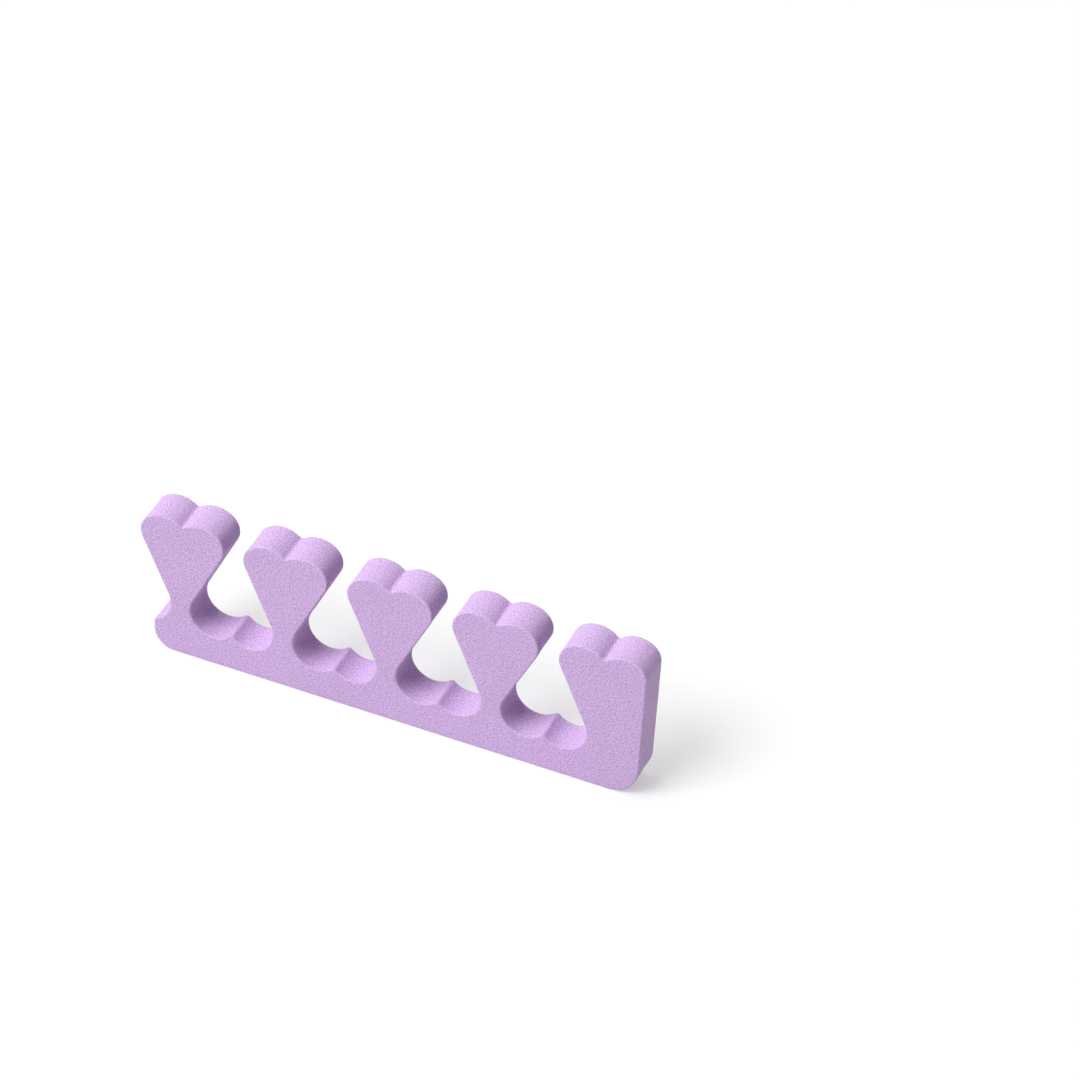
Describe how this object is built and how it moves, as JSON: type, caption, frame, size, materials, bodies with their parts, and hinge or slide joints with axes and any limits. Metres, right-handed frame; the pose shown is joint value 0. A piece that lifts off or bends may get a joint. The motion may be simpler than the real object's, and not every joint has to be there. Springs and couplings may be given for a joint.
{
  "type": "toe separator",
  "caption": "Soft foam comb for nail care that stands on a straight spine, with heart-shaped fingers and rounded spaces between them that hold the toes apart.",
  "frame": {"origin": "middle of the underside of the spine, at the centre of the part's length and thickness", "axes": "+X along the spine from the shoulder end to the straight-sided end finger, +Y through the sheet's thickness, +Z from the spine up to the hearts"},
  "size_m": [0.0939, 0.007, 0.0287],
  "materials": {
    "lilac_foam": "dull closed-cell foam, fine-grained, with lightly rounded cut edges"
  },
  "bodies": {
    "root": {"toe_separator": "lilac_foam"}
  },
  "joints": []
}
